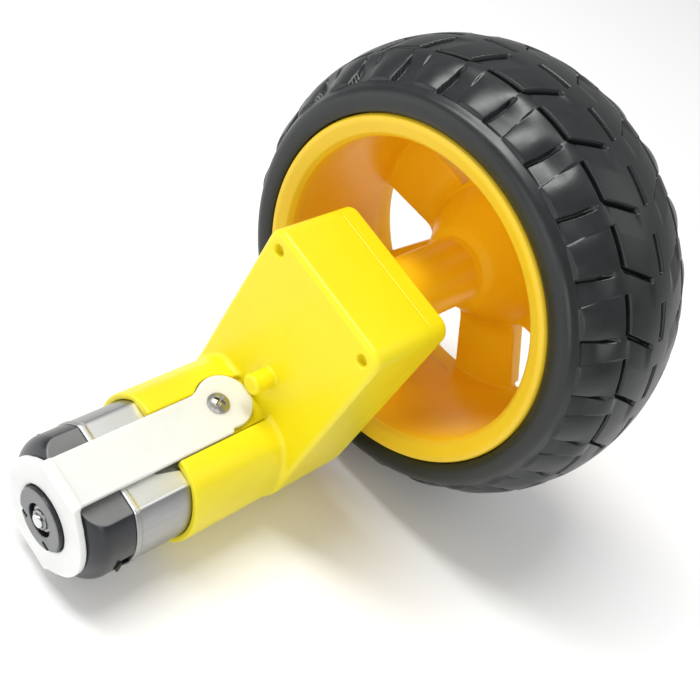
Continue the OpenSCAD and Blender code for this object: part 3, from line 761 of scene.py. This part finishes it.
def front_field(x, y, z):
    d = plate(slab2(x, z), y, -14.0, 0.0, 0.5)
    d = np.maximum(d, -plate(slab2(x, z, 1.3), y, -9.0, -1.3, 0.3))
    d = smin(d, np.maximum(np.hypot(x, z) - 4.0, np.abs(y + 0.6) - 0.6), 0.4)
    d = np.minimum(d, np.maximum(np.hypot(x, z + 12) - 2.0, np.abs(y + 1.2) - 0.9))
    d = np.maximum(d, -np.maximum(np.hypot(x, z + 12) - 1.02, y + 0.56))
    for px, pz in PITS + LOWS:
        rad = np.hypot(x - px, z - pz)
        d = np.minimum(d, np.maximum(rad - 2.0, np.maximum(SPLIT - y, y + 0.5)))
        d = smax(d, -np.maximum(rad - 1.65, -0.9 - y), 0.12)
        d = np.maximum(d, -(rad - 0.85))
    d = np.maximum(d, -(np.hypot(x, z) - 2.75))
    return np.maximum(d, SPLIT - y)


field("gearbox_cover", front_field, (-11.35, SPLIT, -D - 11.4), (11.35, 0, BOX_TOP), 0.2, "housing", ("gearbox_front",), YELLOW)


# ------------------------------------------------------------------- motor
def can_field(x, y, z):
    body = plate(can2(x, z, 0, 0.25), y, Y_CAP, Y_IN - 0.02, 0.5)
    bead = plate(can2(x, z, 0.14, 0.25), y, Y_CAP, Y_CAP + 0.85, 0.22)
    d = smin(body, bead, 0.15)
    # open at the back
    d = np.maximum(d, -np.maximum(can2(x, z, -0.55), y - Y_IN + 0.62))
    rad = np.hypot(x, z + D)
    # short slot in each flat, half under the strap and running in under the cheek
    slot = np.maximum(np.maximum(2.6 - x, x - 3.55 - 0.29 * (y - CHEEK_END + 2.9)), np.maximum(CHEEK_END - 3.2 - y, y - CHEEK_END - 1.2))
    d = np.maximum(d, -np.maximum(slot, FLAT - 0.42 - np.abs(z + D)))
    boss = np.maximum(rad - 3.0, np.abs(y - Y_IN) - 0.53)
    return np.maximum(np.minimum(d, boss), -np.maximum(rad - 2.07, Y_IN - 2 - y))


field("can_shell", can_field, (-10.3, Y_CAP, -D - 7.8), (10.3, Y_IN + 0.6, -D + 7.8), 0.16, "housing", ("motor_can",), STEEL)


def cap_field(x, y, z):
    zz = z + D
    rad = np.hypot(x, zz)
    # barrel with a large soft rear edge
    r = 2.7
    a, b = rad - 9.95 + r, Y_BACK - y + r
    barrel = np.minimum(np.maximum(a, b), 0) + length(np.maximum(a, 0), np.maximum(b, 0)) - r
    barrel = np.maximum(barrel, y - Y_CAP + 0.04)
    d = smax(barrel, np.abs(zz) - FLAT + 0.06, 0.16)
    # round boss that stands through the strap ring
    d = np.minimum(d, smax(rad - 4.5, np.maximum(Y_RING - 0.6 - y, y - Y_BACK - 1), 0.3))
    d = np.maximum(d, Y_RING - 0.6 - y)
    # slits either side of the bearing
    slit = np.maximum(np.abs(zz + 2.7) - 0.28, np.maximum(np.abs(np.abs(x) - 2.9) - 0.95, y - Y_RING - 0.3))
    d = smax(d, -slit, 0.12)
    # plug inside the can, and the room for the brushes
    d = np.minimum(d, np.maximum(can2(x, z, -0.62), np.maximum(Y_CAP - 0.4 - y, y - Y_CAP - 1.5)))
    d = np.maximum(d, -np.maximum(np.maximum(rad - 7.6, np.abs(zz) - FLAT + 1.5), Y_BACK + 1.2 - y))
    tab = np.maximum(np.abs(np.abs(x) - 9.2) - 1.2, np.maximum(np.abs(zz) - 1.25, Y_CAP - 2.6 - y))
    d = np.maximum(d, -tab)
    seat = np.maximum(rad - 2.07, y - Y_BACK - 3)
    d = smax(d, -seat, 0.15)
    # shallow recess round the bearing
    d = smax(d, -np.maximum(rad - 2.35, y - Y_RING - 0.3), 0.2)
    return d


field("cap_moulding", cap_field, (-10.1, Y_RING - 1.2, -D - 7.6), (10.1, Y_CAP + 1.6, -D + 7.6), 0.13, "housing", ("end_cap",), BLACK)


# ------------------------------------------------------------------- strap
def strap_field(x, y, z):
    zz = z + D
    az = np.abs(zz)
    w, t = 3.6, 1.0
    # arm seen from above, ending in a round eye
    arm2 = box2(x + 0.1, y - (Y_IN - 6.2 + Y_RING - 6) / 2, w, (Y_IN - 6.2 - Y_RING + 6) / 2, 0.3)
    top = smin(arm2, np.hypot(x - EYE[0], y - EYE[1]) - EYE[2], 1.0)
    a, b = top + 0.22, np.abs(az - STRAP_Z + t / 2) - t / 2 + 0.22
    arm = np.minimum(np.maximum(a, b), 0) + length(np.maximum(a, 0), np.maximum(b, 0)) - 0.22
    # outside of the bend is rounded: limit the arm by a rounded corner
    ca, cb = az - STRAP_Z + 1.1, Y_RING - y + 1.1
    shell = np.minimum(np.maximum(ca, cb), 0) + length(np.maximum(ca, 0), np.maximum(cb, 0)) - 1.1
    arm = np.maximum(arm, shell)
    # ring and its flared necks
    rad = np.hypot(x, zz)
    neck = np.maximum(np.abs(x) - 3.6 - 1.6 * np.clip((STRAP_Z - az) / 3.0, 0, 1) ** 1.5, az - STRAP_Z)
    ring2 = smin(rad - 8.25, neck, 1.2)
    ring2 = np.maximum(ring2, az - STRAP_Z)
    ring2 = smax(ring2, -(rad - 4.7), 0.1)
    back = plate(ring2, y, Y_RING, Y_RING + t, 0.22)
    back = np.maximum(back, shell)
    d = smin(arm, back, 0.5)
    # screw hole
    d = smax(d, -(np.hypot(x - SCREW[0], y - SCREW[1]) - 0.98), 0.12)
    return d


field("strap_moulding", strap_field, (-8.5, Y_RING, -D - STRAP_Z), (8.5, Y_IN - 1, -D + STRAP_Z), 0.15, "housing", ("strap",), NYLON)


# ----------------------------------------------------------- rear bushing
def bushing_field(x, y, z):
    zz = z + D
    rad = np.hypot(x, zz)
    t = Y_RING - 0.6
    d = smax(rad - 2.02, t + 0.35 - y, 0.5)
    # raised neck, staked in four places
    neck = smax(rad - 1.5, t - y, 0.3)
    a = np.arctan2(zz, x) * 2 + 0.7
    neck = neck + 0.14 * np.clip(np.cos(2 * a), 0, 1) * (y < t + 0.8)
    d = np.minimum(d, np.maximum(neck, y - t - 1.5))
    d = np.maximum(d, y - Y_RING - 2.2)
    return np.maximum(d, 1.04 - rad)


field("bushing_turned", bushing_field, (-2.1, Y_RING - 0.6, -D - 2.1), (2.1, Y_RING + 2.2, -D + 2.1), 0.07, "housing", ("rear_bushing",), STAKED)


# -------------------------------------------------------------- motor shaft
def shaft_field(x, y, z):
    rad = np.hypot(x, z + D)
    d = smax(rad - 1.0, Y_RING - 1.0 - y, 0.35)
    return smax(d, y - SHAFT_END, 0.2)


SHAFT_END = yy(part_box("motor_shaft")[1].y)
field("shaft_ground", shaft_field, (-1.1, Y_RING - 1.0, -D - 1.1), (1.1, SHAFT_END, -D + 1.1), 0.08, "rotor", ("motor_shaft",), SHAFT)


# ------------------------------------------------------------------ screws
def cross(u, v, w, arm, half, depth, top):
    """Cross recess, narrowing with depth; w is the height along the screw."""
    k = np.clip((top - w) / depth, 0, 1)
    h = half * (1 - 0.35 * k)
    a = arm * (1 - 0.55 * k)
    c = np.minimum(np.maximum(np.abs(u) - a, np.abs(v) - h), np.maximum(np.abs(v) - a, np.abs(u) - h))
    return np.maximum(c, top - depth - w)


def pan_head(rad, w, r, h):
    """Domed head standing on w = 0."""
    R = (r * r + h * h) / (2 * h) * 1.02
    dome = length(rad, w - h + R) - R
    return smax(smax(dome, rad - r, 0.25), -w, 0.08)


def strap_screw_field(s):
    def f(x, y, z):
        u, v, w = x - SCREW[0], y - SCREW[1], s * (z + D) - STRAP_Z
        c, q = math.cos(0.5), math.sin(0.5)
        u, v = u * c + v * q, -u * q + v * c
        rad = np.hypot(u, v)
        head = pan_head(rad, w, 1.75, 0.95)
        head = smax(head, -cross(u, v, w, 1.15, 0.24, 0.7, 0.98), 0.08)
        shank = np.maximum(rad - 0.79, np.maximum(w - 0.2, -1.6 - w))
        return np.minimum(head, shank)
    return f


def join(name, fields, body, nodes, mat, h):
    Vs, Qs, Ns, n = [], [], [], 0
    for f, lo, hi in fields:
        V, Q, N = surface(f, lo, hi, h * (1))
        Vs.append(V)
        Qs.append(Q + n)
        Ns.append(N)
        n += len(V)
    return make_mesh(name, np.concatenate(Vs), np.concatenate(Qs), np.concatenate(Ns), body, nodes, mat)


join("strap_fixings", [
    (strap_screw_field(1), (SCREW[0] - 1.9, SCREW[1] - 1.9, -D + STRAP_Z - 1.7), (SCREW[0] + 1.9, SCREW[1] + 1.9, -D + STRAP_Z + 1.1)),
    (strap_screw_field(-1), (SCREW[0] - 1.9, SCREW[1] - 1.9, -D - STRAP_Z - 1.1), (SCREW[0] + 1.9, SCREW[1] + 1.9, -D - STRAP_Z + 1.7)),
], "housing", ("strap_screws",), BRIGHT, 0.06)


def wheel_screw_field(x, y, z):
    rad = np.hypot(x, z)
    w = y - 23.22
    head = pan_head(rad, w, 2.7, 1.6)
    head = smax(head, -cross(x, z, w, 1.5, 0.3, 1.0, 1.62), 0.1)
    thread = 0.05 * np.sin(2 * np.pi * (y / 0.9 - np.arctan2(z, x) / (2 * np.pi)))
    return np.minimum(head, np.maximum(rad - 0.84 - thread, np.maximum(y - 23.4, 16.5 - y)))


field("wheel_fixing", wheel_screw_field, (-2.8, 16.5, -2.8), (2.8, 25, 2.8), 0.09, "wheel", ("wheel_screw",), BRIGHT)


def cover_screw(px, pz):
    def f(x, y, z):
        u, v = x - px, z - pz
        rad = np.hypot(u, v)
        w = y + 0.88
        head = pan_head(rad, w, 1.6, 0.75)
        head = smax(head, -cross(u, v, w, 1.0, 0.2, 0.55, 0.78), 0.06)
        return np.minimum(head, np.maximum(rad - 0.78, np.maximum(y + 0.8, -8.6 - y)))
    return f


join("cover_fixings", [(cover_screw(px, pz), (px - 1.7, -8.7, pz - 1.7), (px + 1.7, 0.0, pz + 1.7)) for px, pz in PITS + LOWS],
     "housing", ("gearbox_screws",), BRIGHT, 0.09)


# -------------------------------------------------------- floor, light, camera
FLOOR_Z = CAD_BOX[0].z
bpy.ops.mesh.primitive_plane_add(size=6, location=(0, 0, FLOOR_Z - 0.00002))
floor = bpy.context.object
floor.name = "floor"
fm = Nodes("floor_paper")
fcol = fm.ramp(fm.noise(3, 3), [(0.3, (0.90, 0.90, 0.90)), (0.7, (0.92, 0.92, 0.915))])
fm.set(Roughness=0.7)
fm.out(fcol, None, fm.bump(fm.noise(400, 3), 0.05, 0.0002))
floor.data.materials.append(fm.mat)

world = bpy.data.worlds.new("studio")
scene.world = world
world.use_nodes = True
bg = world.node_tree.nodes["Background"]
bg.inputs["Color"].default_value = (1.0, 1.0, 1.0, 1)
bg.inputs["Strength"].default_value = 0.44

TARGET = Vector((0, 0, 0))


def area(name, pos, size, power, colour=(1, 1, 1), target=TARGET, size_y=None):
    l = bpy.data.lights.new(name, "AREA")
    l.shape = "RECTANGLE"
    l.size = size
    l.size_y = size_y or size
    l.energy = power
    l.color = colour
    o = bpy.data.objects.new(name, l)
    o.location = pos
    o.rotation_euler = (target - Vector(pos)).to_track_quat("-Z", "Y").to_euler()
    scene.collection.objects.link(o)
    return o


# camera at the photograph's viewing angle: its place and axes in gearbox coordinates
CAM_C = np.array([35.718, -92.227, 95.357])
CAM_R = (0.5820, 0.6920, 0.4270)
CAM_D = (0.7780, -0.3210, -0.5410)
CAM_F = (-0.2370, 0.6470, -0.7250)
right, fwd = dir_row(CAM_R).normalized(), dir_row(CAM_F).normalized()
right = (right - fwd * right.dot(fwd)).normalized()
up = right.cross(fwd).normalized()
loc = Vector(to_row(CAM_C).tolist())
cd = bpy.data.cameras.new("view")
cd.sensor_width = 36
cd.lens = 36 * 997.05 / 700
cd.clip_start = 0.001
cam = bpy.data.objects.new("view", cd)
m = Matrix((right, up, -fwd)).transposed().to_4x4()
m.translation = loc
cam.matrix_world = m
scene.collection.objects.link(cam)
scene.camera = cam

# long soft box overhead, a weak one at the left of the view and a soft fill in front of the open side of the wheel
top_dir = Vector((-0.27, -0.10, 0.96)).normalized()
area("overhead", (top_dir * 0.62)[:], 0.15, 3.2, size_y=0.44)
area("left", (loc - right * 0.30 + up * 0.10)[:], 0.25, 0.25)
area("right", (loc + right * 0.42 + up * 0.16)[:], 0.25, 0.20)
area("fill", (0.10, -0.46, 0.16), 0.32, 0.50)
area("bowl", (0.30, -0.20, 0.10), 0.16, 0.22)

scene.view_settings.view_transform = "Standard"
scene.view_settings.look = "None"
scene.view_settings.exposure = 0.0
scene.view_settings.gamma = 1.0
